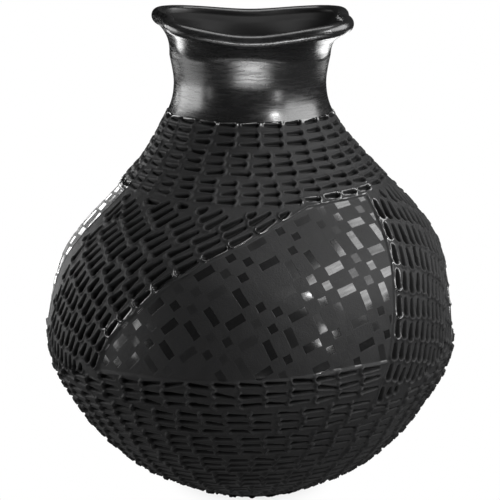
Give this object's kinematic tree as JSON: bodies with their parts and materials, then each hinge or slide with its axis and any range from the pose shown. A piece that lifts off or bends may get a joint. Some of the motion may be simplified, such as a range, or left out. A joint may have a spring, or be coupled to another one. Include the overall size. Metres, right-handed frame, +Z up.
{
  "type": "vase",
  "caption": "Round-bellied black clay pot with a narrow burnished neck, a flared nearly square mouth, and carved bands round three plain shoulder panels.",
  "frame": {"origin": "middle of the flat foot, on the surface the pot stands on", "axes": "+Z up along the pot's axis, -Y is the front, +X is the viewer's right"},
  "size_m": [0.2056, 0.2056, 0.2428],
  "materials": {
    "matte_clay": "smoke-fired black clay, unpolished, dry and matte, carved with a blade",
    "burnished_clay": "smoke-fired black clay rubbed to a deep gloss with a quartz stone"
  },
  "bodies": {
    "root": {"base_dish": "matte_clay", "lower_wall": "matte_clay", "belly_wall": "matte_clay", "shoulder_base": "matte_clay", "shoulder_wall": "matte_clay", "neck_root": "matte_clay", "neck_collar": "burnished_clay", "flared_mouth": "burnished_clay", "rolled_lip": "burnished_clay"}
  },
  "joints": []
}
